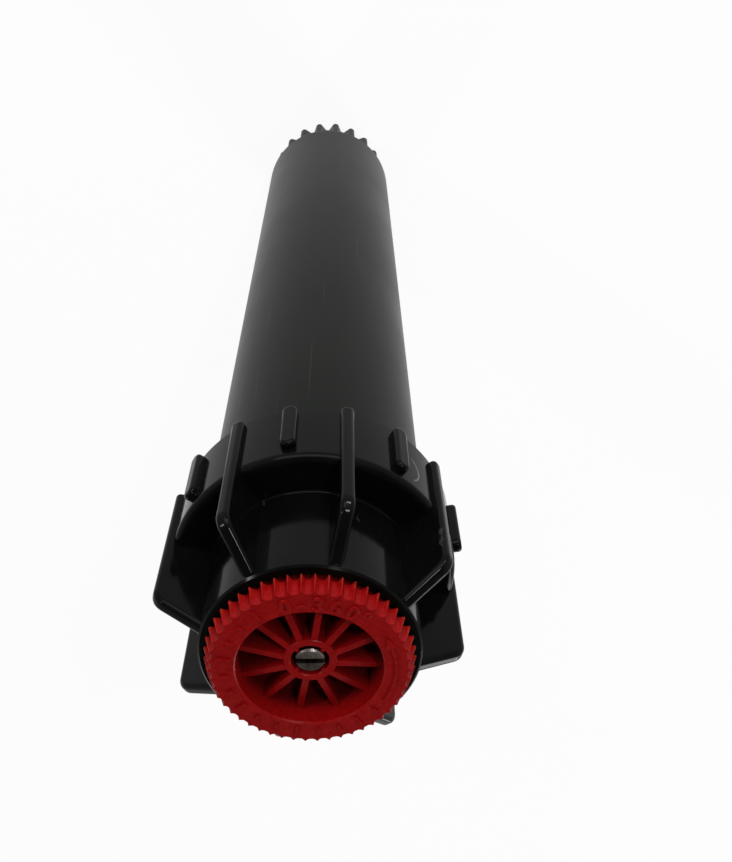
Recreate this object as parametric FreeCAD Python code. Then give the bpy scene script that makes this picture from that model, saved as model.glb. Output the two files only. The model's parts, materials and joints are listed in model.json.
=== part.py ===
import FreeCAD, Part
import math
import os

# Pop up sprinkler, retracted.  Millimetres, +Z up, origin at the centre of the inlet face.
# Radii grow outwards from the riser stem; heights grow up from the inlet and down from the nozzle face.

# ---------------------------------------------------------------- driving sizes: heights
overall_height = 222.5         # inlet face to the raised marks on the nozzle face, riser down
mark_height = 0.25             # raised marks above the nozzle face
inlet_depth = 12.5             # threaded length of the inlet socket
inlet_land = 1.3               # thin land above the inlet socket
clip_pocket_depth = 2.4        # counterbore that takes the ratchet clip
cap_rim_drop = 3.15            # nozzle face to cap rim
cap_neck_height = 17.4         # cap shoulder to cap rim
cap_deck = 2.2                 # thickness of the cap's shoulder
cap_skirt_depth = 11.75        # shoulder's underside to the skirt's end
seal_flange = 1.5              # thickness of the wiper seal's clamped flange
retainer_flange = 1.0          # thickness of the spring retainer's clamped flange
nozzle_height = 18.0           # riser shoulder to nozzle face
guide_ring_height = 5.2
stem_flange_height = 2.0
foot_lip_height = 0.4          # lip under the clip's groove
retainer_seat_depth = 3.0      # case rim down to the spring's upper seat
seal_pocket_height = 2.4       # pocket over the shoulder's underside for the seal's hub
shoulder_step = 0.5            # riser's shoulder above the floor of the cap's neck
boss_height = 9.5              # foot to the boss's rounded shoulder

# ---------------------------------------------------------------- driving sizes: radii and walls
inlet_thread_r = 9.886         # pitch radius of a half inch taper pipe thread
inlet_land_r = 8.5
stem_outer_r = 9.5
stem_wall = 1.9
spring_wire_r = 0.55
spring_gap = 2.15              # stem to spring
spring_turns = 14
flange_lip = 1.15              # stem flange beyond the spring
guide_rib_height = 1.0
guide_rib_width = 2.0
guide_rib_count = 4
case_wall = 2.2
cap_skirt_wall = 2.3
cap_neck_wall = 1.7
nozzle_wall = 2.1
nozzle_flare = 1.6             # rim of the nozzle base beyond its skirt
collar_skirt_step = 1.4        # arc collar beyond the rim of the nozzle base
guide_lip = 0.9                # stem flange over the guide ring
foot_tooth_depth = 0.4
foot_groove_depth = 1.0
clip_lip = 0.3                 # ratchet clip under the guide ring
top_step = 2.0                 # stem to the root of its threaded top
top_wall = 1.3

# ---------------------------------------------------------------- driving sizes: outside features
cap_fin_count = 8
cap_fin_phase = 31.4           # degrees from +X to the first fin
cap_fin_thickness = 2.15
cap_fin_corner = 2.9           # radius of the fin's outer corner
cap_fin_round = 0.8            # rounding along the fin's edge
cap_edge = 1.25                # rounding of the skirt's upper edge
cap_neck_fillet = 0.4
cap_fin_height = 1.2           # fin beyond the skirt
cap_fin_corner_drop = 8.2      # nozzle face to the fin's outer corner
cap_fin_tip_drop = 4.05        # nozzle face to the fin's end on the neck
cap_pad_width = 2.4
cap_pad_height = 1.35
cap_pad_round = 0.6
cap_pad_start = 0.8            # skirt's end to a pad
cap_pad_land = 0.8             # plain skirt between a pad and the rounded edge
boss_step = 3.0                # case to the boss at its foot
boss_rib_count = 20
boss_rib_phase = 10.4
boss_rib_height = 2.0
boss_rib_width = 4.0           # across its root
boss_rib_tip_r = 1.1
knurl_count = 50
foot_tooth_count = 36
knurl_height = 2.5
knurl_depth = 1.0
knurl_inset = 1.0              # knurl inside the cap's neck
face_chamfer = 0.3             # flat face inside the knurl's root
face_ring_width = 3.3
mark_width = 0.45
mark_first = 305.0             # degrees from +X to the first tick of the scale
mark_step = 15.0
mark_count = 14
arrow_start = 150.0            # turning arrow, from its tail to its head
arrow_sweep = 50.0
spoke_count = 12
spoke_phase = 20.5
spoke_width = 0.95
hub_wall = 1.1

# ---------------------------------------------------------------- threads
cap_thread_pitch = 3.0
cap_thread_turns = 1.5
cap_thread_depth = 1.2
cap_thread_root = 1.7
cap_thread_crest = 0.8
nozzle_thread_pitch = 2.0
nozzle_thread_turns = 2.0
nozzle_thread_depth = 0.7
nozzle_thread_root = 1.1
nozzle_thread_crest = 0.5
thread_clearance = 0.5         # crest to the mating wall of the cap thread
nozzle_thread_clearance = 0.3
thread_sink = 0.3              # how far a ridge is rooted in its wall
cap_thread_land = 1.6          # plain rim above the case's thread
screw_pitch = 0.8
screw_turns = 2.0

# ---------------------------------------------------------------- clearances
seat_gap = 0.3                 # flat running gap between moving pieces
foot_gap = 0.4                 # stem's foot over the floor of its pocket
tooth_gap = 0.5                # foot's teeth inside the guide ring
slide_gap = 0.25               # guide ring in the case
seal_gap = 0.15                # wiper lip round the stem
stem_hole_gap = 0.4            # cap's hole round the stem
rib_gap = 0.3                  # notch round a guide rib
rib_top_gap = 1.4              # guide rib under the spring's upper seat
flange_rib_gap = 1.1           # stem flange inside the guide ribs
hub_gap = 0.3                  # arc collar round the nozzle's post
pocket_gap = 0.2               # seal hub in its pocket
recess_gap = 0.7               # arc collar in the cap's neck
clip_gap = 0.05                # ratchet clip in its groove
spring_end_gap = 0.1           # spring wire to its seats

# ---------------------------------------------------------------- heights that follow
pocket_floor_z = inlet_depth + inlet_land
ledge_z = pocket_floor_z + clip_pocket_depth
stem_foot_z = pocket_floor_z + foot_gap
guide_ring_z = ledge_z + seat_gap
stem_flange_z = guide_ring_z + guide_ring_height + seat_gap
spring_foot_z = stem_flange_z + stem_flange_height
face_z = overall_height - mark_height
cap_rim_z = face_z - cap_rim_drop
deck_top_z = cap_rim_z - cap_neck_height
deck_under_z = deck_top_z - cap_deck
retainer_top_z = deck_under_z - seal_flange
case_top_z = retainer_top_z - retainer_flange
skirt_end_z = deck_under_z - cap_skirt_depth
cap_thread_z = case_top_z - cap_thread_land - cap_thread_turns * cap_thread_pitch
stem_shoulder_z = face_z - nozzle_height
cap_floor_z = stem_shoulder_z - shoulder_step
seal_roof_z = deck_under_z + seal_pocket_height
spring_top_z = case_top_z - retainer_seat_depth
spring_length = spring_top_z - spring_foot_z

# ---------------------------------------------------------------- radii that follow
stem_bore_r = stem_outer_r - stem_wall
spring_mean_r = stem_outer_r + spring_gap + spring_wire_r
stem_flange_r = spring_mean_r + spring_wire_r + flange_lip
guide_rib_r = stem_flange_r + flange_rib_gap
case_bore_r = guide_rib_r + guide_rib_height
case_outer_r = case_bore_r + case_wall
guide_ring_r = case_bore_r - slide_gap
guide_bore_r = stem_flange_r - guide_lip
foot_tip_r = guide_bore_r - tooth_gap
foot_root_r = foot_tip_r - foot_tooth_depth
foot_groove_r = foot_root_r - foot_groove_depth
clip_outer_r = guide_bore_r + clip_lip
clip_pocket_r = clip_outer_r + seat_gap
boss_r = case_outer_r - boss_step
boss_rib_r = boss_r + boss_rib_height
skirt_bore_r = case_outer_r + cap_thread_depth + thread_clearance
skirt_outer_r = skirt_bore_r + cap_skirt_wall
fin_outer_r = skirt_outer_r + cap_fin_height
pad_outer_r = skirt_outer_r + cap_pad_height
top_root_r = stem_outer_r - top_step
top_crest_r = top_root_r + nozzle_thread_depth
top_bore_r = top_root_r - top_wall
nozzle_bore_r = top_crest_r + nozzle_thread_clearance
nozzle_outer_r = nozzle_bore_r + nozzle_wall
nozzle_rim_r = nozzle_outer_r + nozzle_flare
collar_skirt_r = nozzle_rim_r + collar_skirt_step
recess_r = collar_skirt_r + recess_gap
neck_r = recess_r + cap_neck_wall
knurl_tip_r = neck_r - knurl_inset
knurl_root_r = knurl_tip_r - knurl_depth
face_outer_r = knurl_root_r - face_chamfer
face_inner_r = face_outer_r - face_ring_width

# ---------------------------------------------------------------- nozzle heights and radii
gasket_height = 0.8
nozzle_foot_z = stem_shoulder_z + gasket_height
nozzle_thread_z = nozzle_foot_z + 0.8
filter_flange_z = stem_shoulder_z + 7.5
filter_flange_height = 1.0
nozzle_roof_z = filter_flange_z + filter_flange_height
nozzle_top_z = nozzle_roof_z + 1.6
nozzle_web_z = nozzle_roof_z - 0.4
nozzle_web_height = 0.8
collar_foot_z = nozzle_top_z + 0.6
collar_floor_z = collar_foot_z + 1.3
hub_top_z = face_z - 1.8
spoke_end_drop = 1.0           # fall of a spoke's top from the hub to the ring
post_r = 2.6
post_bore_r = 1.6
post_top_z = collar_floor_z - seat_gap
hub_bore_r = post_r + hub_gap
hub_mouth_r = 2.75
hub_outer_r = hub_mouth_r + hub_wall
port_r = 4.8
valve_outer_r = port_r - hub_gap
screw_head_r = 2.1
screw_head_height = 1.8
screw_slot_width = 0.9
screw_slot_depth = 0.9
screw_shank_r = 1.45
screw_pin_r = 1.0
screw_head_z = hub_top_z - screw_head_height
screw_travel = screw_turns * screw_pitch
oring_wire_r = 0.5
plug_r = 3.6
plug_tip_r = 1.6
plug_cone_r = 3.2
plug_disc_height = 2.0
filter_cup_wall = 0.6
filter_cup_r = top_bore_r - 0.6
filter_seat_z = stem_shoulder_z + 1.5
filter_seat_height = 1.0
filter_port_r = 2.4
filter_length = 25.0
filter_frame_width = 1.0
plug_entry = 0.6               # plug's nose inside the seat when it is screwed right down
plug_web = 1.1                 # plug's nose to the floor of the pin's socket
plug_foot_z = filter_seat_z + screw_travel - plug_entry
plug_cone_height = 1.6
plug_disc_z = plug_foot_z + plug_cone_height
plug_top_z = plug_disc_z + plug_disc_height
screw_pin_z = plug_top_z + seat_gap


# ---------------------------------------------------------------- shape helpers
def outline(points):
    """Closed face in the XZ plane.  A pair is a corner (r, z); four numbers are an arc's
    middle point and its end."""
    edges = []
    last = FreeCAD.Vector(points[0][0], 0, points[0][1])
    first = last
    for entry in points[1:] + [points[0]]:
        end = FreeCAD.Vector(entry[-2], 0, entry[-1])
        if len(entry) == 4:
            middle = FreeCAD.Vector(entry[0], 0, entry[1])
            edges.append(Part.Arc(last, middle, end).toShape())
        elif (end - last).Length > 1e-6:
            edges.append(Part.makeLine(last, end))
        last = end
    assert (last - first).Length < 1e-6
    return Part.Face(Part.Wire(edges))


def revolve(points):
    """Solid of revolution about Z from an (r, z) outline."""
    return outline(points).revolve(FreeCAD.Vector(0, 0, 0), FreeCAD.Vector(0, 0, 1), 360)


def ring(inner_r, outer_r, low, high):
    """Plain round tube."""
    return revolve([(inner_r, low), (outer_r, low), (outer_r, high), (inner_r, high)])


def disc(radius, low, high):
    return Part.makeCylinder(radius, high - low, FreeCAD.Vector(0, 0, low))


def blade(points, thickness):
    """An (r, z) outline made into a radial plate of even thickness."""
    plate = outline(points).extrude(FreeCAD.Vector(0, thickness, 0))
    plate.translate(FreeCAD.Vector(0, -thickness / 2, 0))
    return plate


def bar(inner_r, outer_r, width, low, high):
    """Radial block that crosses the +X axis."""
    corner = FreeCAD.Vector(inner_r, -width / 2, low)
    return Part.makeBox(outer_r - inner_r, width, high - low, corner)


def around(shape, count, phase=0.0):
    """Evenly spaced copies about Z."""
    copies = []
    for index in range(count):
        copy = shape.copy()
        copy.rotate(FreeCAD.Vector(0, 0, 0), FreeCAD.Vector(0, 0, 1), phase + 360.0 * index / count)
        copies.append(copy)
    return copies


def joined(body, pieces):
    """One solid with its flush faces merged."""
    return body.multiFuse(pieces).removeSplitter()


def arc_middle(centre_r, centre_z, radius, degrees):
    """Point of an outline's arc at an angle from the radial direction."""
    angle = math.radians(degrees)
    return (centre_r + radius * math.cos(angle), centre_z + radius * math.sin(angle))


def thread_ridge(wall_r, crest_r, low, pitch, turns, root_width, crest_width):
    """One helical ridge on a round wall; the crest is outside or inside the wall."""
    helix = Part.makeHelix(pitch, turns * pitch, wall_r)
    helix.translate(FreeCAD.Vector(0, 0, low))
    corners = [
        FreeCAD.Vector(wall_r, 0, low - root_width / 2),
        FreeCAD.Vector(crest_r, 0, low - crest_width / 2),
        FreeCAD.Vector(crest_r, 0, low + crest_width / 2),
        FreeCAD.Vector(wall_r, 0, low + root_width / 2),
    ]
    section = Part.makePolygon(corners + corners[:1])
    return Part.Wire(helix.Edges).makePipeShell([section], True, True)


def toothed_wire(z, tip_r, root_r, count):
    """Closed outline of a round edge with sharp teeth and scooped valleys between them."""
    shape = ((-0.5, 0.0), (-0.3, 0.12), (-0.13, 0.52), (-0.03, 1.0), (0.03, 1.0), (0.13, 0.52), (0.3, 0.12))
    points = []
    for index in range(count):
        for share, rise in shape:
            angle = math.radians((index + share) * 360.0 / count)
            radius = root_r + rise * (tip_r - root_r)
            points.append(FreeCAD.Vector(radius * math.cos(angle), radius * math.sin(angle), z))
    return Part.makePolygon(points + points[:1])


def toothed_band(low, high, bore_r, count):
    """Toothed ring between two levels, each given as (z, tip radius, root radius)."""
    wires = [toothed_wire(z, tip_r, root_r, count) for z, tip_r, root_r in (low, high)]
    return Part.makeLoft(wires, True, True).cut(disc(bore_r, low[0] - 1, high[0] + 1))


# ---------------------------------------------------------------- case and cap
def make_body_case():
    """Tube with an inlet socket, a ribbed boss at its foot and a thread under its rim."""
    shoulder_z = boss_step + boss_height
    middle = arc_middle(boss_r, shoulder_z, boss_step, -45)
    shell = revolve([
        (inlet_thread_r, 0),
        (boss_r - 0.5, 0),
        (boss_r, 0.5),
        (boss_r, shoulder_z - boss_step),
        middle + (case_outer_r, shoulder_z),
        (case_outer_r, case_top_z - 0.6),
        (case_outer_r - 0.6, case_top_z),
        (case_bore_r, case_top_z),
        (case_bore_r, ledge_z),
        (clip_pocket_r, ledge_z),
        (clip_pocket_r, pocket_floor_z),
        (inlet_land_r, pocket_floor_z),
        (inlet_land_r, inlet_depth),
        (inlet_thread_r, inlet_depth),
    ])
    guide_rib = bar(guide_rib_r, case_bore_r + 0.5, guide_rib_width, ledge_z + 0.8,
                    spring_top_z - rib_top_gap)
    ridge = thread_ridge(case_outer_r - thread_sink, case_outer_r + cap_thread_depth, cap_thread_z,
                         cap_thread_pitch, cap_thread_turns, cap_thread_root, cap_thread_crest)
    pieces = around(make_boss_rib(shoulder_z - 0.5), boss_rib_count, boss_rib_phase)
    pieces += around(guide_rib, guide_rib_count)
    return joined(shell, pieces).fuse(ridge)


def make_boss_rib(high):
    """Upright rib that narrows to a round tip."""
    half = boss_rib_width / 2
    tip = boss_rib_tip_r
    base_r = boss_r - 0.4
    lean = math.radians(20)
    side_x = boss_rib_r - tip + tip * math.sin(lean)
    side_y = tip * math.cos(lean)
    edges = [
        Part.makeLine(FreeCAD.Vector(base_r, -half, 0), FreeCAD.Vector(side_x, -side_y, 0)),
        Part.Arc(FreeCAD.Vector(side_x, -side_y, 0), FreeCAD.Vector(boss_rib_r, 0, 0),
                 FreeCAD.Vector(side_x, side_y, 0)).toShape(),
        Part.makeLine(FreeCAD.Vector(side_x, side_y, 0), FreeCAD.Vector(base_r, half, 0)),
        Part.makeLine(FreeCAD.Vector(base_r, half, 0), FreeCAD.Vector(base_r, -half, 0)),
    ]
    return Part.Face(Part.Wire(edges)).extrude(FreeCAD.Vector(0, 0, high))


def make_cap():
    """Screwed cap: skirt, shoulder, long neck, eight deep fins and eight short pads between them."""
    edge_middle = arc_middle(skirt_outer_r - cap_edge, deck_top_z - cap_edge, cap_edge, 45)
    fillet_middle = arc_middle(neck_r + cap_neck_fillet, deck_top_z + cap_neck_fillet,
                               cap_neck_fillet, 225)
    shell = revolve([
        (skirt_bore_r, skirt_end_z),
        (skirt_outer_r - 0.4, skirt_end_z),
        (skirt_outer_r, skirt_end_z + 0.4),
        (skirt_outer_r, deck_top_z - cap_edge),
        edge_middle + (skirt_outer_r - cap_edge, deck_top_z),
        (neck_r + cap_neck_fillet, deck_top_z),
        fillet_middle + (neck_r, deck_top_z + cap_neck_fillet),
        (neck_r, cap_rim_z - 0.3),
        (neck_r - 0.3, cap_rim_z),
        (recess_r + 0.3, cap_rim_z),
        (recess_r, cap_rim_z - 0.3),
        (recess_r, cap_floor_z),
        (stem_outer_r + stem_hole_gap, cap_floor_z),
        (stem_outer_r + stem_hole_gap, seal_roof_z),
        (guide_bore_r + pocket_gap, seal_roof_z),
        (guide_bore_r + pocket_gap, deck_under_z),
        (skirt_bore_r, deck_under_z),
    ])
    ridge = thread_ridge(skirt_bore_r + thread_sink, skirt_bore_r - cap_thread_depth,
                         cap_thread_z + cap_thread_pitch / 2, cap_thread_pitch, cap_thread_turns,
                         cap_thread_root, cap_thread_crest)
    pieces = around(make_cap_fin(), cap_fin_count, cap_fin_phase)
    pieces += around(make_cap_pad(), cap_fin_count, cap_fin_phase + 180.0 / cap_fin_count)
    return joined(shell, pieces).fuse(ridge)


def make_cap_fin():
    """Plate that runs up the skirt, stands on the shoulder and slants in to the neck."""
    root = 0.6
    corner = cap_fin_corner
    foot_z = skirt_end_z + 0.3
    foot_corner = 0.7
    corner_z = face_z - cap_fin_corner_drop
    neck_z = face_z - cap_fin_tip_drop
    slope = math.atan2(neck_z - corner_z, fin_outer_r - neck_r)
    blend = corner * math.tan((math.pi / 2 - slope) / 2)
    inner_z = neck_z + root * math.tan(slope)
    turn = 90 - math.degrees(slope)
    corner_middle = arc_middle(fin_outer_r - corner, corner_z - blend, corner, turn / 2)
    corner_end = arc_middle(fin_outer_r - corner, corner_z - blend, corner, turn)
    foot_middle = arc_middle(fin_outer_r - foot_corner, foot_z + foot_corner, foot_corner, -45)
    inner_skirt_r = skirt_outer_r - root
    inner_neck_r = neck_r - root
    inner_deck_z = deck_top_z - root
    plate = blade([
        (inner_skirt_r, foot_z),
        (fin_outer_r - foot_corner, foot_z),
        foot_middle + (fin_outer_r, foot_z + foot_corner),
        (fin_outer_r, corner_z - blend),
        corner_middle + corner_end,
        (inner_neck_r, inner_z),
        (inner_neck_r, inner_deck_z),
        (skirt_outer_r - cap_edge, inner_deck_z),
        (inner_skirt_r, deck_top_z - cap_edge),
    ], cap_fin_thickness)
    edges = []
    for edge in plate.Edges:
        box = edge.BoundBox
        on_side = box.YLength < 0.001
        rooted = box.XMax < inner_skirt_r + 0.01
        hidden = rooted and (box.XLength < 0.001 or box.ZMax < inner_deck_z + 0.01)
        if on_side and not hidden:
            edges.append(edge)
    return plate.makeFillet(cap_fin_round, edges)


def make_cap_pad():
    """Round-ended grip pad on the skirt."""
    half = cap_pad_width / 2
    inner_r = skirt_outer_r - 0.6
    low = skirt_end_z + cap_pad_start + half
    high = deck_top_z - cap_edge - cap_pad_land - half
    bar_edges = [
        Part.makeLine(FreeCAD.Vector(inner_r, half, low), FreeCAD.Vector(inner_r, half, high)),
        Part.Arc(FreeCAD.Vector(inner_r, half, high), FreeCAD.Vector(inner_r, 0, high + half),
                 FreeCAD.Vector(inner_r, -half, high)).toShape(),
        Part.makeLine(FreeCAD.Vector(inner_r, -half, high), FreeCAD.Vector(inner_r, -half, low)),
        Part.Arc(FreeCAD.Vector(inner_r, -half, low), FreeCAD.Vector(inner_r, 0, low - half),
                 FreeCAD.Vector(inner_r, half, low)).toShape(),
    ]
    pad = Part.Face(Part.Wire(bar_edges)).extrude(FreeCAD.Vector(pad_outer_r - inner_r, 0, 0))
    edges = [edge for edge in pad.Edges if edge.BoundBox.XMin > pad_outer_r - 0.01]
    return pad.makeFillet(cap_pad_round, edges)


# ---------------------------------------------------------------- seal, retainer and spring
def make_wiper_seal():
    """Rubber ring: clamped flange, hub in the cap's pocket and a lip that wipes the stem."""
    hub_r = guide_bore_r
    lip_r = stem_outer_r + seal_gap
    roof_z = seal_roof_z - pocket_gap
    return revolve([
        (hub_r - 2.4, retainer_top_z),
        (case_outer_r - 0.6, retainer_top_z),
        (case_outer_r - 0.6, deck_under_z),
        (hub_r, deck_under_z),
        (hub_r, roof_z),
        (lip_r, roof_z),
        (lip_r, roof_z - 0.8),
        (hub_r - 1.6, roof_z - 1.6),
        (hub_r - 1.6, retainer_top_z + 1.0),
        (hub_r - 2.4, retainer_top_z + 0.6),
    ])


def make_spring_retainer():
    """Cupped washer under the seal, with a short collar inside the spring's top coil."""
    inner_r = stem_outer_r + 1.1
    collar_r = spring_mean_r - spring_wire_r - 0.3
    outer_r = case_bore_r - seat_gap
    return revolve([
        (inner_r, spring_top_z - 2.0),
        (collar_r, spring_top_z - 2.0),
        (collar_r, spring_top_z),
        (outer_r, spring_top_z),
        (outer_r, case_top_z),
        (case_outer_r - 0.4, case_top_z),
        (case_outer_r - 0.4, retainer_top_z),
        (outer_r - 1.2, retainer_top_z),
        (outer_r - 1.2, spring_top_z + 1.2),
        (inner_r, spring_top_z + 1.2),
    ])


def make_retract_spring():
    """Even compression coil between the stem flange and the retainer."""
    rise = spring_length - 2 * (spring_wire_r + spring_end_gap)
    start = FreeCAD.Vector(spring_mean_r, 0, spring_foot_z + spring_wire_r + spring_end_gap)
    along = FreeCAD.Vector(0, 2 * math.pi * spring_mean_r * spring_turns, rise).normalize()
    helix = Part.makeHelix(rise / spring_turns, rise, spring_mean_r)
    helix.translate(FreeCAD.Vector(0, 0, start.z))
    section = Part.Wire([Part.makeCircle(spring_wire_r, start, along)])
    return Part.Wire(helix.Edges).makePipeShell([section], True, True)


# ---------------------------------------------------------------- riser
def make_guide_ring():
    """Ratchet ring keyed to the case's ribs, with pawls that click on the stem's foot."""
    top_z = guide_ring_z + guide_ring_height
    body = ring(guide_bore_r, guide_ring_r, guide_ring_z, top_z)
    notch = bar(guide_rib_r - rib_gap, guide_ring_r + 1, guide_rib_width + 2 * rib_gap,
                guide_ring_z - 1, top_z + 1)
    pawl = bar(foot_tip_r + slide_gap, guide_bore_r + 0.5, 1.2, guide_ring_z + 1.4, top_z - 1.4)
    body = body.cut(Part.makeCompound(around(notch, guide_rib_count)))
    return joined(body, around(pawl, guide_rib_count, 45.0))


def make_riser_stem():
    """Riser tube: toothed foot, spring flange, plain stem and a threaded top."""
    foot_bore_r = foot_groove_r - 0.9
    groove_low = stem_foot_z + foot_lip_height
    groove_high = ledge_z
    tube = revolve([
        (foot_bore_r, stem_foot_z),
        (foot_groove_r + 0.35, stem_foot_z),
        (foot_groove_r + 0.35, groove_low),
        (foot_groove_r, groove_low),
        (foot_groove_r, groove_high),
        (foot_root_r, groove_high),
        (foot_root_r, stem_flange_z),
        (stem_flange_r, stem_flange_z),
        (stem_flange_r, spring_foot_z),
        (stem_outer_r, spring_foot_z),
        (stem_outer_r, stem_shoulder_z),
        (top_root_r, stem_shoulder_z),
        (top_root_r, filter_flange_z),
        (top_bore_r, filter_flange_z),
        (top_bore_r, stem_shoulder_z - 3.0),
        (stem_bore_r, stem_shoulder_z - 3.0 - stem_wall),
        (stem_bore_r, stem_flange_z + 1.5),
        (foot_bore_r, stem_flange_z - 1.5),
    ])
    teeth = toothed_band((guide_ring_z, foot_tip_r, foot_root_r - 0.1),
                         (stem_flange_z, foot_tip_r, foot_root_r - 0.1),
                         foot_root_r - 0.4, foot_tooth_count)
    ridge = thread_ridge(top_root_r - thread_sink, top_crest_r, nozzle_thread_z,
                         nozzle_thread_pitch, nozzle_thread_turns, nozzle_thread_root,
                         nozzle_thread_crest)
    return joined(tube, [teeth]).fuse(ridge)


def make_ratchet_clip():
    """Split ring in the foot's groove that keeps the guide ring on the stem."""
    body = ring(foot_groove_r + clip_gap, clip_outer_r, stem_foot_z + foot_lip_height, ledge_z)
    gap = bar(foot_groove_r - 1, clip_outer_r + 1, 2.0, stem_foot_z, ledge_z + 1)
    return body.cut(gap)


def make_filter_frame():
    """Filter basket hung on a flange: cup with the throttle's seat, four bars and a foot."""
    foot_z = filter_seat_z - filter_length
    cup = revolve([
        (filter_port_r, filter_seat_z - filter_seat_height),
        (filter_cup_r, filter_seat_z - filter_seat_height),
        (filter_cup_r, filter_flange_z),
        (top_root_r - 0.1, filter_flange_z),
        (top_root_r - 0.1, nozzle_roof_z),
        (filter_cup_r - filter_cup_wall, nozzle_roof_z),
        (filter_cup_r - filter_cup_wall, filter_seat_z),
        (filter_port_r, filter_seat_z),
    ])
    upright = bar(filter_cup_r - filter_frame_width, filter_cup_r, 1.4, foot_z, filter_seat_z - 0.5)
    foot = disc(filter_cup_r, foot_z, foot_z + 1.2)
    return joined(cup, around(upright, 4) + [foot])


def make_filter_mesh():
    """Thin strainer sleeve inside the basket, with rows of windows."""
    outer_r = filter_cup_r - filter_frame_width
    low = filter_seat_z - filter_length + 1.2
    high = filter_seat_z - filter_seat_height
    sleeve = ring(outer_r - 0.35, outer_r, low, high)
    rows = 9
    step = (high - low) / (rows + 0.5)
    window = bar(outer_r - 1, outer_r + 1, 1.3, low + step * 0.5, low + step)
    windows = []
    for row in range(rows):
        lifted = window.copy()
        lifted.translate(FreeCAD.Vector(0, 0, row * step))
        windows += around(lifted, 12, 15.0)
    return sleeve.cut(Part.makeCompound(windows))


# ---------------------------------------------------------------- nozzle
def make_nozzle_gasket():
    return ring(top_crest_r + 0.15, stem_outer_r, stem_shoulder_z, nozzle_foot_z)


def make_nozzle_base():
    """Threaded skirt and rim, a roof with a round port, and a post on three webs."""
    shell = revolve([
        (nozzle_bore_r, nozzle_foot_z),
        (nozzle_outer_r - 0.4, nozzle_foot_z),
        (nozzle_outer_r, nozzle_foot_z + 0.4),
        (nozzle_outer_r, nozzle_roof_z - nozzle_flare - 0.4),
        (nozzle_rim_r, nozzle_roof_z - 0.4),
        (nozzle_rim_r, nozzle_top_z),
        (port_r, nozzle_top_z),
        (port_r, nozzle_roof_z),
        (nozzle_bore_r, nozzle_roof_z),
    ])
    ridge = thread_ridge(nozzle_bore_r + thread_sink, top_root_r + nozzle_thread_clearance,
                         nozzle_thread_z + nozzle_thread_pitch / 2, nozzle_thread_pitch,
                         nozzle_thread_turns, nozzle_thread_root, nozzle_thread_crest)
    web = bar(post_r - 0.5, port_r + 0.5, 1.0, nozzle_web_z, nozzle_web_z + nozzle_web_height)
    web = web.cut(ring(port_r, port_r + 1, nozzle_web_z - 1, nozzle_roof_z))
    post = disc(post_r, nozzle_web_z, post_top_z)
    grip = bar(nozzle_outer_r - 0.5, nozzle_outer_r + 0.5, 1.0, nozzle_foot_z + 0.6, nozzle_roof_z - 1.6)
    base = joined(shell, around(web, 3, 90.0) + around(grip, 24) + [post])
    return base.cut(disc(post_bore_r, nozzle_web_z - 1, post_top_z + 1)).fuse(ridge)


def make_arc_collar():
    """Turning collar: knurled rim, flat face ring, twelve spokes and a hub round the screw."""
    knurl_foot_z = face_z - knurl_height
    underside_z = knurl_foot_z - 0.25
    body = revolve([
        (hub_bore_r, collar_foot_z),
        (collar_skirt_r - 0.5, collar_foot_z),
        (collar_skirt_r, collar_foot_z + 0.5),
        (collar_skirt_r, underside_z),
        (knurl_root_r, underside_z),
        (knurl_root_r, knurl_foot_z),
        (face_outer_r, face_z),
        (face_inner_r + 0.2, face_z),
        (face_inner_r, face_z - 0.2),
        (face_inner_r, collar_floor_z),
        (hub_outer_r, collar_floor_z),
        (hub_outer_r, hub_top_z - 0.15),
        (hub_outer_r - 0.15, hub_top_z),
        (hub_mouth_r + 0.15, hub_top_z),
        (hub_mouth_r, hub_top_z - 0.15),
        (hub_mouth_r, collar_floor_z),
        (hub_bore_r, collar_floor_z),
    ])
    bore_r = face_inner_r + 0.5
    rim_level = (knurl_foot_z, knurl_tip_r, knurl_root_r - 0.05)
    face_level = (face_z, knurl_tip_r - 0.85, face_outer_r - 0.05)
    foot_level = (underside_z, knurl_tip_r, knurl_root_r - 0.05)
    upper = toothed_band(rim_level, face_level, bore_r, knurl_count)
    lower = toothed_band(foot_level, rim_level, bore_r, knurl_count)
    spoke = blade([
        (hub_outer_r - 0.4, collar_floor_z - 0.4),
        (face_inner_r + 0.4, collar_floor_z - 0.4),
        (face_inner_r + 0.4, hub_top_z - spoke_end_drop),
        (face_inner_r, hub_top_z - spoke_end_drop),
        (hub_outer_r, hub_top_z - 0.15),
        (hub_outer_r - 0.4, hub_top_z - 0.15),
    ], spoke_width)
    lug = bar(hub_mouth_r - 0.4, hub_mouth_r + 0.4, 0.5, hub_top_z - 1.4, hub_top_z - 0.15)
    pieces = around(spoke, spoke_count, spoke_phase) + around(lug, 4, 45.0)
    return joined(body, [upper, lower] + pieces + make_face_marks())


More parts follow.
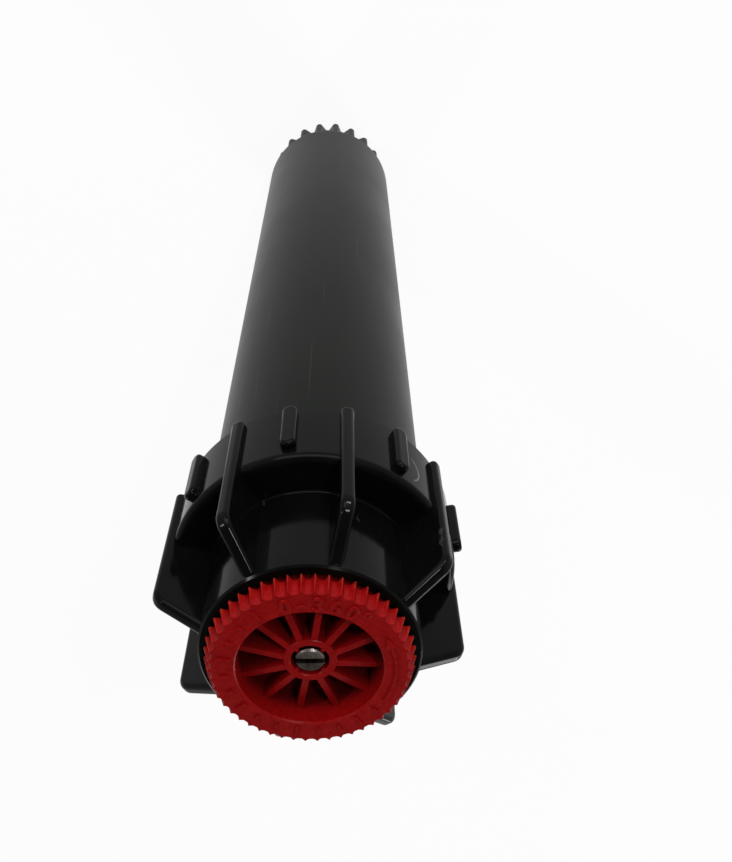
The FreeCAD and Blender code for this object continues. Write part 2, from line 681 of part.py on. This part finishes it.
def make_face_marks():
    """Raised scale of plain ticks, every third one longer, and a turning arrow on the face ring."""
    band_r = (face_inner_r + face_outer_r) / 2
    low = face_z - 0.2
    high = face_z + mark_height
    marks = []
    for index in range(mark_count):
        reach = 0.95 if index % 3 == 0 else 0.55
        tick = bar(band_r - reach, band_r + reach, mark_width, low, high)
        tick.rotate(FreeCAD.Vector(0, 0, 0), FreeCAD.Vector(0, 0, 1), mark_first + index * mark_step)
        marks.append(tick)
    shaft = outline([
        (band_r - mark_width / 2, low),
        (band_r + mark_width / 2, low),
        (band_r + mark_width / 2, high),
        (band_r - mark_width / 2, high),
    ]).revolve(FreeCAD.Vector(0, 0, 0), FreeCAD.Vector(0, 0, 1), arrow_sweep)
    shaft.rotate(FreeCAD.Vector(0, 0, 0), FreeCAD.Vector(0, 0, 1), arrow_start)
    barb = 0.85
    corners = [
        FreeCAD.Vector(band_r - barb, 0, low),
        FreeCAD.Vector(band_r + barb, 0, low),
        FreeCAD.Vector(band_r - 0.1, 2.1, low),
    ]
    head = Part.Face(Part.makePolygon(corners + corners[:1])).extrude(FreeCAD.Vector(0, 0, high - low))
    head.rotate(FreeCAD.Vector(0, 0, 0), FreeCAD.Vector(0, 0, 1), arrow_start + arrow_sweep - 0.5)
    return marks + [shaft, head]


def make_arc_valve():
    """Sleeve that turns with the collar in the nozzle's port; its window sets the arc."""
    low = nozzle_web_z + nozzle_web_height + seat_gap
    body = ring(post_r + hub_gap + 0.05, valve_outer_r, low, collar_foot_z)
    window = Part.makeCylinder(valve_outer_r + 1, 0.9, FreeCAD.Vector(0, 0, low),
                               FreeCAD.Vector(0, 0, 1), 120)
    return body.cut(window)


def make_screw_oring():
    """Seal round the screw on the post's end."""
    centre_r = screw_shank_r + 0.1 + oring_wire_r
    centre_z = post_top_z + oring_wire_r
    return Part.makeTorus(centre_r, oring_wire_r, FreeCAD.Vector(0, 0, centre_z))


def make_throttle_plug():
    """Cone-nosed plug on the screw's end that closes on the filter's seat."""
    body = revolve([
        (0, plug_foot_z),
        (plug_tip_r, plug_foot_z),
        (plug_cone_r, plug_disc_z),
        (plug_r, plug_disc_z),
        (plug_r, plug_top_z),
        (0, plug_top_z),
    ])
    return body.cut(disc(screw_pin_r + 0.1, plug_foot_z + plug_web, plug_top_z + 1))


def make_radius_screw():
    """Slotted screw: head in the hub, shank through the post and a pin in the plug."""
    pin_foot_z = plug_foot_z + plug_web + seat_gap
    body = revolve([
        (0, pin_foot_z),
        (screw_pin_r, pin_foot_z),
        (screw_pin_r, screw_pin_z),
        (screw_shank_r, screw_pin_z),
        (screw_shank_r, screw_head_z),
        (screw_head_r, screw_head_z),
        (screw_head_r, hub_top_z - 0.25),
        (screw_head_r - 0.25, hub_top_z),
        (0, hub_top_z),
    ])
    slot = bar(-screw_head_r - 1, screw_head_r + 1, screw_slot_width,
               hub_top_z - screw_slot_depth, hub_top_z + 1)
    return body.cut(slot)


# ---------------------------------------------------------------- write one file per piece
def main():
    makers = {
        "body_case": make_body_case,
        "cap": make_cap,
        "wiper_seal": make_wiper_seal,
        "spring_retainer": make_spring_retainer,
        "retract_spring": make_retract_spring,
        "guide_ring": make_guide_ring,
        "riser_stem": make_riser_stem,
        "ratchet_clip": make_ratchet_clip,
        "filter_frame": make_filter_frame,
        "filter_mesh": make_filter_mesh,
        "nozzle_gasket": make_nozzle_gasket,
        "nozzle_base": make_nozzle_base,
        "screw_oring": make_screw_oring,
        "arc_collar": make_arc_collar,
        "arc_valve": make_arc_valve,
        "throttle_plug": make_throttle_plug,
        "radius_screw": make_radius_screw,
    }
    os.makedirs("parts", exist_ok=True)
    for name, make in makers.items():
        shape = make()
        print(name, "valid", shape.isValid(), "solids", len(shape.Solids), "mm3", round(shape.Volume, 2))
        shape.exportStep("parts/" + name + ".step")


main()
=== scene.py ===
import json
import math

import bmesh
import bpy
from mathutils import Matrix, Vector


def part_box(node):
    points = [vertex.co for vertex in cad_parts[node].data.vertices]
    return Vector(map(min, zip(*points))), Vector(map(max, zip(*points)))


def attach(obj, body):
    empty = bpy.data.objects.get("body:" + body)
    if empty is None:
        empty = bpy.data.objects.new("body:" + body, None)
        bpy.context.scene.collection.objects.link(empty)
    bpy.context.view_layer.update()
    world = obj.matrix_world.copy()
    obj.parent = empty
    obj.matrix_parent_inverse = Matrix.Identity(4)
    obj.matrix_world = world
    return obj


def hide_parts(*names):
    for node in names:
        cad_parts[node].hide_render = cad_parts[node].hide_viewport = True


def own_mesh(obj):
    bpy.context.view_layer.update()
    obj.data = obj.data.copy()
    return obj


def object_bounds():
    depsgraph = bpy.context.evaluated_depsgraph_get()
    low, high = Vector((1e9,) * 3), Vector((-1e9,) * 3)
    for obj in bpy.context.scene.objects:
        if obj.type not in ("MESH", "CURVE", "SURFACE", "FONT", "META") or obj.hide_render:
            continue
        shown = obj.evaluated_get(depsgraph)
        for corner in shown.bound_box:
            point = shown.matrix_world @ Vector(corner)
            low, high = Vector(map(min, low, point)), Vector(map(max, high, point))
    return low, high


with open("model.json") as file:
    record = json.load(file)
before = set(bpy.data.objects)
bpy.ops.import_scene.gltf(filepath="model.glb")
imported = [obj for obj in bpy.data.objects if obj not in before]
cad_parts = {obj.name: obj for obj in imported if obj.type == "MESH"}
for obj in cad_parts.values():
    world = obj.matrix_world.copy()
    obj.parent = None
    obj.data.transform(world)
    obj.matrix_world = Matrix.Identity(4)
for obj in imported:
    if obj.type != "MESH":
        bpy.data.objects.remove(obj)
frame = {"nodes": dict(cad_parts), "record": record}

nodes = frame["nodes"]
cad_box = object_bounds()
MM = 0.001
MARK_RISE = 0.25 * MM                    # raised marks over the nozzle face
TOP = cad_box[1][2]                      # top of the raised marks
FACE = TOP - MARK_RISE                   # nozzle face
WHITE = (1.0, 1.0, 1.0, 1.0)


def add_object(name, data):
    """Makes an object of the data and links it to the scene."""
    item = bpy.data.objects.new(name, data)
    bpy.context.scene.collection.objects.link(item)
    return item


# ------------------------------------------------------------------ camera
def make_camera():
    """Looks down at the nozzle face, rolled so that the tube runs up the picture."""
    data = bpy.data.cameras.new("photo_camera")
    data.lens = 42.81
    data.sensor_width = 36.0
    data.clip_start = 0.005
    data.clip_end = 20.0
    camera = add_object("photo_camera", data)
    forward = Vector((-0.0216, 0.5203, -0.8537)).normalized()
    rough_up = Vector((0.0, -0.8539, -0.5204))
    right = forward.cross(rough_up).normalized()
    up = right.cross(forward)
    turn = Matrix((right, up, -forward)).transposed().to_4x4()
    place = Vector((-4.75 * MM, -102.7 * MM, FACE + 104.56 * MM))
    camera.matrix_world = Matrix.Translation(place) @ turn
    bpy.context.scene.camera = camera


# ------------------------------------------------------------------ node helpers
class Graph:
    """A small builder for a node tree; each helper gives back an output socket."""

    def __init__(self, tree):
        self.tree = tree

    def add(self, kind, **settings):
        """Makes a node and gives back the node itself."""
        node = self.tree.nodes.new(kind)
        for key, value in settings.items():
            setattr(node, key, value)
        return node

    def link(self, source, target):
        self.tree.links.new(source, target)

    def ramp(self, source, low, high, start=0.0, end=1.0, interpolation="LINEAR"):
        """Maps low..high of source to start..end, clamped."""
        node = self.add("ShaderNodeMapRange", interpolation_type=interpolation)
        node.inputs["From Min"].default_value = low
        node.inputs["From Max"].default_value = high
        node.inputs["To Min"].default_value = start
        node.inputs["To Max"].default_value = end
        self.link(source, node.inputs["Value"])
        return node.outputs["Result"]

    def math(self, operation, first, second):
        """Each operand is a number or an output."""
        node = self.add("ShaderNodeMath", operation=operation)
        for index, value in enumerate((first, second)):
            if isinstance(value, (int, float)):
                node.inputs[index].default_value = value
            else:
                self.link(value, node.inputs[index])
        return node.outputs["Value"]

    def length(self, vector):
        node = self.add("ShaderNodeVectorMath", operation="LENGTH")
        self.link(vector, node.inputs[0])
        return node.outputs["Value"]

    def distance(self, vector, point):
        node = self.add("ShaderNodeVectorMath", operation="DISTANCE")
        self.link(vector, node.inputs[0])
        node.inputs[1].default_value = point
        return node.outputs["Value"]

    def part(self, vector, axis):
        """The X, Y or Z part of a vector."""
        node = self.add("ShaderNodeSeparateXYZ")
        self.link(vector, node.inputs["Vector"])
        return node.outputs[axis]

    def seen_rays(self):
        """1 for rays that show what they hit, 0 for diffuse rays that only gather its light."""
        rays = self.add("ShaderNodeLightPath").outputs
        seen = self.math("MAXIMUM", rays["Is Camera Ray"], rays["Is Glossy Ray"])
        return self.math("MAXIMUM", seen, rays["Is Transmission Ray"])


class Shader(Graph):
    """A builder for one material."""

    def __init__(self, name):
        self.material = bpy.data.materials.new(name)
        self.material.use_nodes = True
        super().__init__(self.material.node_tree)
        self.surface = self.tree.nodes["Principled BSDF"]
        self.coordinates = self.add("ShaderNodeTexCoord").outputs["Object"]

    def put(self, socket, value):
        """Sets one of the surface's own sockets."""
        self.surface.inputs[socket].default_value = value

    def stretched(self, scale):
        """Object coordinates in units of one over scale along each axis."""
        mapping = self.add("ShaderNodeMapping")
        mapping.inputs["Scale"].default_value = scale
        self.link(self.coordinates, mapping.inputs["Vector"])
        return mapping.outputs["Vector"]

    def noise(self, scale, detail=3.0, roughness=0.5, distortion=0.0, stretch=None):
        node = self.add("ShaderNodeTexNoise")
        node.inputs["Scale"].default_value = scale
        node.inputs["Detail"].default_value = detail
        node.inputs["Roughness"].default_value = roughness
        node.inputs["Distortion"].default_value = distortion
        source = self.stretched(stretch) if stretch else self.coordinates
        self.link(source, node.inputs["Vector"])
        return node.outputs["Fac"]

    def lines(self, stretch, detail, roughness):
        """Noise drawn out along the axes where stretch is small."""
        return self.noise(1.0, detail, roughness, stretch=stretch)

    def spots(self, scale):
        """Distance to the nearest of some scattered points."""
        node = self.add("ShaderNodeTexVoronoi")
        node.inputs["Scale"].default_value = scale
        self.link(self.coordinates, node.inputs["Vector"])
        return node.outputs["Distance"]

    def blend(self, factor, first, second):
        """Mixes two colours, each a tuple or an output."""
        node = self.add("ShaderNodeMix", data_type="RGBA")
        self.link(factor, node.inputs["Factor"])
        for key, value in (("A", first), ("B", second)):
            socket = [s for s in node.inputs if s.name == key and s.type == "RGBA"][0]
            if isinstance(value, tuple):
                socket.default_value = value + (1.0,)
            else:
                self.link(value, socket)
        return [s for s in node.outputs if s.type == "RGBA"][0]

    def colour(self, source):
        self.link(source, self.surface.inputs["Base Color"])

    def roughness(self, source):
        self.link(source, self.surface.inputs["Roughness"])

    def bump(self, *layers):
        """Each layer is (height, strength, distance in mm)."""
        normal = None
        for height, strength, distance in layers:
            node = self.add("ShaderNodeBump")
            node.inputs["Strength"].default_value = strength
            node.inputs["Distance"].default_value = distance * MM
            self.link(height, node.inputs["Height"])
            if normal:
                self.link(normal, node.inputs["Normal"])
            normal = node.outputs["Normal"]
        self.link(normal, self.surface.inputs["Normal"])


# ------------------------------------------------------------------ materials
def make_case_plastic():
    """Satin black extruded plastic: a faint grain, dusty patches, long scratches and nicks."""
    clean = (0.0056, 0.0065, 0.0056)
    dusty = (0.0088, 0.0097, 0.0085)
    bare = (0.034, 0.036, 0.034)
    s = Shader("case_plastic")
    patches = s.noise(22.0, detail=4.0, roughness=0.55)
    grain = s.noise(1400.0, detail=2.0, roughness=0.6)
    scratches = s.ramp(s.lines((900.0, 900.0, 14.0), detail=2.0, roughness=0.6), 0.66, 0.74)
    flecks = s.noise(420.0, detail=2.0, roughness=0.7, distortion=1.5)
    near_spots = s.ramp(s.spots(95.0), 0.06, 0.12, start=1.0, end=0.0)
    nicks = s.math("MULTIPLY", s.ramp(flecks, 0.60, 0.68), near_spots)
    worn = s.math("MAXIMUM", s.math("MULTIPLY", scratches, 0.3), s.math("MULTIPLY", nicks, 0.8))
    base = s.blend(s.ramp(patches, 0.35, 0.68), clean, dusty)
    s.colour(s.blend(worn, base, bare))
    s.roughness(s.ramp(patches, 0.3, 0.7, start=0.25, end=0.35))
    s.bump((grain, 0.12, 0.04), (scratches, 0.25, 0.04), (nicks, 0.6, 0.15))
    s.put("Specular IOR Level", 0.027)
    return s.material


def make_curved_scrape(s):
    """One short bowed scrape on the cap's skirt: part of a thin shell round a point."""
    centre = (-13.6 * MM, -18.0 * MM, TOP - 26.4 * MM)
    bow_r = 3.9 * MM
    half_width = 0.20 * MM
    full_x = -15.6 * MM                  # the scrape fades out from here
    gone_x = -15.1 * MM
    reach = s.distance(s.coordinates, centre)
    rise = s.ramp(reach, bow_r - half_width, bow_r)
    fall = s.ramp(reach, bow_r, bow_r + half_width, start=1.0, end=0.0)
    outer = s.ramp(s.part(s.coordinates, "X"), full_x, gone_x, start=1.0, end=0.0)
    return s.math("MULTIPLY", s.math("MULTIPLY", rise, fall), outer)


def make_cap_plastic():
    """Glossy black moulded plastic with slight sink marks, rubs and a few bright scuffs."""
    dark = (0.0013, 0.0016, 0.0014)
    smeared = (0.0024, 0.0028, 0.0024)
    rubbed = (0.034, 0.035, 0.034)
    scraped = (0.13, 0.13, 0.125)
    s = Shader("cap_plastic")
    waves = s.noise(70.0, detail=2.0, roughness=0.4)
    smears = s.noise(160.0, detail=4.0, roughness=0.6, distortion=0.4)
    scuffs = s.ramp(s.lines((500.0, 260.0, 120.0), detail=3.0, roughness=0.7), 0.70, 0.76)
    scrape = make_curved_scrape(s)
    base = s.blend(s.ramp(smears, 0.3, 0.7), dark, smeared)
    scuffed = s.blend(s.math("MULTIPLY", scuffs, 0.6), base, rubbed)
    s.colour(s.blend(scrape, scuffed, scraped))
    s.roughness(s.ramp(smears, 0.3, 0.72, start=0.08, end=0.16))
    s.bump((waves, 0.10, 0.6), (s.math("MAXIMUM", scuffs, scrape), 0.25, 0.03))
    s.put("Specular IOR Level", 0.05)
    return s.material


def make_collar_red():
    """Deep red moulded plastic: mottled, lighter on the teeth's tips from rub wear and a painted
    highlight, with painted shade darkening its pockets.
    """
    deep = (0.168, 0.0012, 0.0019)
    full = (0.208, 0.0021, 0.0026)
    flecked = (0.262, 0.0052, 0.0050)
    # Lighter orange for the teeth's tips: partly rub wear, partly a painted highlight in place of
    # glints.
    rubbed = (0.34, 0.024, 0.009)
    # The dark red below is painted shade for the pockets and spokes under the face.
    painted_shade_colour = (0.035, 0.0022, 0.0028)
    rub_and_glint_depth = (0.55 * MM, 0.05 * MM)   # inside the teeth's tips: where the rub wear and painted highlight starts, is full
    painted_shade_depth = (5.0 * MM, 2.0 * MM)   # under the face: where the painted shade is full, ends
    s = Shader("collar_red")
    clouds = s.noise(260.0, detail=4.0, roughness=0.6)
    mottle = s.noise(1500.0, detail=4.0, roughness=0.7)
    grain = s.noise(3200.0, detail=3.0, roughness=0.6)
    base = s.blend(s.ramp(clouds, 0.3, 0.7), deep, full)
    mottled = s.blend(s.ramp(mottle, 0.35, 0.68, start=0.0, end=0.55), base, flecked)
    tip_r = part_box("arc_collar")[1][0]
    radius = s.length(s.stretched((1.0, 1.0, 0.0)))
    tips = s.ramp(radius, tip_r - rub_and_glint_depth[0], tip_r - rub_and_glint_depth[1])
    # Rub wear and painted highlight on the teeth's tips, broken up by the mottle.
    rub_and_glint = s.math("MULTIPLY", tips, s.ramp(mottle, 0.38, 0.62, start=0.15, end=0.8))
    worn = s.blend(rub_and_glint, mottled, rubbed)
    # Painted shade: the colour darkens with depth under the face, where the pockets and spokes
    # lie in shade.
    painted_shade = s.ramp(s.part(s.coordinates, "Z"), FACE - painted_shade_depth[0], FACE - painted_shade_depth[1],
                   start=0.8, end=0.0)
    s.colour(s.blend(painted_shade, worn, painted_shade_colour))
    s.roughness(s.ramp(mottle, 0.3, 0.7, start=0.24, end=0.40))
    s.bump((grain, 0.22, 0.06), (mottle, 0.35, 0.10), (clouds, 0.10, 0.2))
    s.put("Specular IOR Level", 0.06)
    return s.material


def make_plain_plastic(name, dark, light, rough):
    """Plain moulded plastic with soft cloudy variation and a fine grain."""
    s = Shader(name)
    clouds = s.noise(90.0, detail=4.0, roughness=0.55)
    grain = s.noise(1800.0, detail=2.0, roughness=0.6)
    rubs = s.ramp(s.lines((700.0, 700.0, 20.0), detail=2.0, roughness=0.6), 0.64, 0.74)
    base = s.blend(s.ramp(clouds, 0.32, 0.68), dark, light)
    rubbed = tuple(value * 1.5 + 0.005 for value in light)
    s.colour(s.blend(s.math("MULTIPLY", rubs, 0.4), base, rubbed))
    s.roughness(s.ramp(clouds, 0.3, 0.7, start=rough[0], end=rough[1]))
    s.bump((grain, 0.12, 0.04), (rubs, 0.2, 0.03))
    s.put("Specular IOR Level", 0.12)
    return s.material


def make_seal_rubber():
    """Dull black rubber with a talc-like bloom."""
    dark = (0.012, 0.012, 0.012)
    pale = (0.035, 0.034, 0.033)
    s = Shader("seal_rubber")
    bloom = s.noise(140.0, detail=5.0, roughness=0.65)
    grain = s.noise(2200.0, detail=2.0, roughness=0.7)
    s.colour(s.blend(s.ramp(bloom, 0.4, 0.75), dark, pale))
    s.roughness(s.ramp(bloom, 0.3, 0.7, start=0.55, end=0.75))
    s.bump((grain, 0.2, 0.04))
    return s.material


def make_steel(name, dark, light, rough, stretch):
    """Stainless steel with drawn or turned lines and slight tarnish."""
    s = Shader(name)
    lines = s.lines(stretch, detail=3.0, roughness=0.6)
    tarnish = s.noise(420.0, detail=4.0, roughness=0.6)
    base = s.blend(s.ramp(tarnish, 0.35, 0.7), light, dark)
    s.colour(s.blend(s.ramp(lines, 0.3, 0.8, start=0.0, end=0.35), base, dark))
    s.roughness(s.ramp(lines, 0.3, 0.7, start=rough[0], end=rough[1]))
    s.bump((lines, 0.18, 0.03), (tarnish, 0.1, 0.04))
    s.put("Metallic", 1.0)
    return s.material


def assign_materials():
    """Gives every CAD node its finish and returns the finishes by record slot."""
    finish = {
        "case_plastic": make_case_plastic(),
        "cap_plastic": make_cap_plastic(),
        "seal_rubber": make_seal_rubber(),
        "collar_red": make_collar_red(),
    }
    plastics = (
        ("retainer_plastic", (0.03, 0.031, 0.032), (0.05, 0.051, 0.053), (0.4, 0.52)),
        ("riser_plastic", (0.0080, 0.0086, 0.0086), (0.0130, 0.0138, 0.0138), (0.24, 0.34)),
        ("filter_plastic", (0.42, 0.41, 0.37), (0.56, 0.55, 0.50), (0.38, 0.5)),
        ("nozzle_plastic", (0.0065, 0.0065, 0.0070), (0.0110, 0.0110, 0.0115), (0.3, 0.42)),
    )
    for slot, dark, light, rough in plastics:
        finish[slot] = make_plain_plastic(slot, dark, light, rough)
    steels = (
        ("spring_steel", (0.30, 0.30, 0.31), (0.56, 0.56, 0.57), (0.22, 0.34),
         (1500.0, 1500.0, 6000.0)),
        ("screw_steel", (0.05, 0.04, 0.034), (0.18, 0.155, 0.135), (0.26, 0.46),
         (6000.0, 700.0, 700.0)),
    )
    for slot, dark, light, rough, stretch in steels:
        finish[slot] = make_steel(slot, dark, light, rough, stretch)
    for entry in frame["record"]["subparts"]:
        mesh = nodes[entry["node"]].data
        mesh.materials.clear()
        mesh.materials.append(finish[entry["material_slot"]])
    return finish


# ------------------------------------------------------------------ pieces
def new_piece(name, mesh, finish, slot, body):
    """Adds a piece that rides on a body, in one of the record's finishes."""
    piece = add_object(name, mesh)
    mesh.materials.clear()
    mesh.materials.append(finish[slot])
    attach(piece, body)
    return piece


def spoke(angle):
    """Unit vector out from the axis."""
    return Vector((math.cos(angle), math.sin(angle), 0.0))


def helix_mesh(name, turns, section, steps_per_turn, smooth):
    """Closed mesh swept along a helix; section gives the ring of points at a turn."""
    steps = int(turns * steps_per_turn)
    bm = bmesh.new()
    rings = []
    for step in range(steps + 1):
        rings.append([bm.verts.new(place) for place in section(turns * step / steps)])
    count = len(rings[0])
    for low, high in zip(rings, rings[1:]):
        for index in range(count):
            after = (index + 1) % count
            bm.faces.new((low[index], low[after], high[after], high[index]))
    bm.faces.new(rings[0])
    bm.faces.new(reversed(rings[-1]))
    bmesh.ops.recalc_face_normals(bm, faces=bm.faces)
    mesh = bpy.data.meshes.new(name)
    bm.to_mesh(mesh)
    bm.free()
    for polygon in mesh.polygons:
        polygon.use_smooth = smooth
    return mesh


def make_spring(finish):
    """Compression spring with closed end coils."""
    low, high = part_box("retract_spring")
    wire_r = 0.55 * MM
    wire_sides = 12
    mean_r = high[0] - wire_r
    active = 14.0
    end_coil = 1.0
    turns = active + 2 * end_coil
    span = high[2] - low[2] - 2 * wire_r
    closed = 2 * wire_r * 1.02           # rise of a coil that all but rests on the next
    free = span - 2 * closed * end_coil  # shared by the active coils

    def height(turn):
        if turn < end_coil:
            return closed * turn
        if turn > turns - end_coil:
            return span - closed * (turns - turn)
        return closed * end_coil + free * (turn - end_coil) / active

    def section(turn):
        outward = spoke(2 * math.pi * turn)
        centre = outward * mean_r + Vector((0, 0, low[2] + wire_r + height(turn)))
        points = []
        for side in range(wire_sides):
            around = 2 * math.pi * side / wire_sides
            points.append(centre + outward * (wire_r * math.cos(around))
                          + Vector((0, 0, wire_r * math.sin(around))))
        return points

    mesh = helix_mesh("coil_spring", turns, section, steps_per_turn=40, smooth=True)
    piece = new_piece("coil_spring", mesh, finish, "spring_steel", "case")
    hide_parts("retract_spring")
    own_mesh(piece)


def make_inlet_thread(finish):
    """Tapered internal pipe thread in the inlet socket, 14 turns to the inch."""
    pitch = 25.4 / 14 * MM
    wall_r = 9.886 * MM
    depth = 12.5 * MM
    ridge = 0.72 * MM
    sunk = 0.1 * MM                      # how far the ridge's root is let into the wall
    half_root = 0.46 * pitch
    half_crest = 0.07 * pitch
    taper = 1 / 32
    start = 0.9 * MM                     # clear of the thread at each end
    fade_turns = 0.6
    least_fade = 0.02
    turns = (depth - 2 * start) / pitch

    def section(turn):
        outward = spoke(-2 * math.pi * turn)
        z = start + turn * pitch
        fade = max(least_fade, min(1.0, turn / fade_turns, (turns - turn) / fade_turns))
        root_r = wall_r + sunk
        crest_r = wall_r - (ridge + z * taper) * fade
        corners = ((root_r, -half_root), (crest_r, -half_crest),
                   (crest_r, half_crest), (root_r, half_root))
        return [outward * radius + Vector((0, 0, z + rise)) for radius, rise in corners]

    mesh = helix_mesh("inlet_thread", turns, section, steps_per_turn=60, smooth=False)
    new_piece("inlet_thread", mesh, finish, "case_plastic", "case")


def make_figure(text):
    """Mesh of one raised figure, upright on the XY plane."""
    curve = bpy.data.curves.new("figure", "FONT")
    curve.body = text
    curve.size = 3.15 * MM
    curve.extrude = 0.16 * MM
    curve.bevel_depth = 0.035 * MM
    curve.bevel_resolution = 1
    curve.offset = 0.07 * MM
    curve.align_x = "CENTER"
    curve.resolution_u = 6
    source = add_object("figure", curve)
    bpy.context.view_layer.update()
    shown = source.evaluated_get(bpy.context.evaluated_depsgraph_get())
    mesh = bpy.data.meshes.new_from_object(shown)
    bpy.data.objects.remove(source)
    bpy.data.curves.remove(curve)
    return mesh


def make_dial_numbers(finish):
    """Raised figures of the arc range, read clockwise round the top of the face ring."""
    base_r = 12.05 * MM - 1.12 * MM      # middle of the figures' band less half their height
    base_z = TOP - 0.2 * MM
    figures = (("0", 285.0), ("-", 274.5), ("3", 264.0), ("6", 252.5), ("0", 240.5), ("°", 231.5))
    merged = bmesh.new()
    for text, degrees in figures:
        angle = math.radians(degrees)
        outward = spoke(angle)
        clockwise = Vector((math.sin(angle), -math.cos(angle), 0.0))
        turn = Matrix((clockwise, outward, Vector((0, 0, 1)))).transposed().to_4x4()
        place = outward * base_r + Vector((0, 0, base_z))
        figure = make_figure(text)
        figure.transform(Matrix.Translation(place) @ turn)
        merged.from_mesh(figure)
    mesh = bpy.data.meshes.new("dial_numbers")
    merged.to_mesh(mesh)
    merged.free()
    new_piece("dial_numbers", mesh, finish, "collar_red", "collar")


# ------------------------------------------------------------------ floor, lights and world
def make_floor():
    """Pale floor that keeps the object's shadow and shows white to the camera and to gloss."""
    half = 6.0
    near, far = 0.5, 2.5                 # metres from the object; the glow is full past far
    pale, paler = (0.78, 0.78, 0.77), (0.82, 0.82, 0.81)
    mesh = bpy.data.meshes.new("floor")
    corners = [(x * half, y * half, 0) for x, y in ((-1, -1), (1, -1), (1, 1), (-1, 1))]
    mesh.from_pydata(corners, [], [(0, 1, 2, 3)])
    floor = add_object("floor", mesh)
    s = Shader("floor")
    s.colour(s.blend(s.ramp(s.noise(3.0), 0.3, 0.7), pale, paler))
    s.put("Roughness", 0.9)
    s.put("Specular IOR Level", 0.1)
    glow = s.add("ShaderNodeEmission")
    glow.inputs["Color"].default_value = WHITE
    glow.inputs["Strength"].default_value = 1.0
    share = s.ramp(s.length(s.coordinates), near, far, start=0.9, end=1.0)
    mix = s.add("ShaderNodeMixShader")
    s.link(s.math("MULTIPLY", s.seen_rays(), share), mix.inputs[0])
    s.link(s.surface.outputs["BSDF"], mix.inputs[1])
    s.link(glow.outputs["Emission"], mix.inputs[2])
    s.link(mix.outputs["Shader"], s.tree.nodes["Material Output"].inputs["Surface"])
    mesh.materials.append(s.material)


def make_world():
    """Dim even light; the camera and gloss see it white at the sides and grey overhead."""
    lighting = 0.25
    side, overhead = 1.0, 0.2
    side_z, overhead_z = 0.25, 0.8       # height on the unit sphere round the scene
    world = bpy.data.worlds.new("studio")
    bpy.context.scene.world = world
    world.use_nodes = True
    g = Graph(world.node_tree)
    height = g.part(g.add("ShaderNodeTexCoord").outputs["Generated"], "Z")
    dome = g.ramp(height, side_z, overhead_z, side, overhead, interpolation="SMOOTHSTEP")
    strength = g.add("ShaderNodeMix")
    strength.inputs["A"].default_value = lighting
    g.link(g.seen_rays(), strength.inputs["Factor"])
    g.link(dome, strength.inputs["B"])
    background = g.tree.nodes["Background"]
    background.inputs["Color"].default_value = WHITE
    g.link(strength.outputs["Result"], background.inputs["Strength"])


def make_lights():
    """Soft key from the front, one from behind at the side, and four small bulbs for glints."""
    aim_height = TOP * 0.6
    lamps = (                            # name, place, width and height, watts
        ("key", (0.05, -1.1, 0.42), (0.9, 0.6), 7.0),
        ("back", (-0.75, 0.95, 0.55), (0.4, 0.9), 10.0),
        ("bulb_high", (-0.27, -0.61, 0.84), (0.10, 0.10), 2.6),
        ("bulb_low", (-0.33, -0.85, 0.18), (0.10, 0.10), 2.2),
        ("bulb_left", (0.62, -0.42, 0.60), (0.08, 0.08), 1.4),
        ("bulb_back", (0.55, 0.85, 0.45), (0.12, 0.12), 2.2),
    )
    for name, place, size, watts in lamps:
        data = bpy.data.lights.new(name, "AREA")
        data.shape = "RECTANGLE"
        data.size, data.size_y = size
        data.energy = watts
        lamp = add_object(name, data)
        lamp.location = place
        aim = Vector((0.0, 0.0, aim_height)) - Vector(place)
        lamp.rotation_euler = aim.to_track_quat("-Z", "Y").to_euler()


# ------------------------------------------------------------------ build
make_camera()
finishes = assign_materials()
make_spring(finishes)
make_inlet_thread(finishes)
make_dial_numbers(finishes)
make_floor()
make_world()
make_lights()
bpy.context.scene.view_settings.view_transform = "Standard"
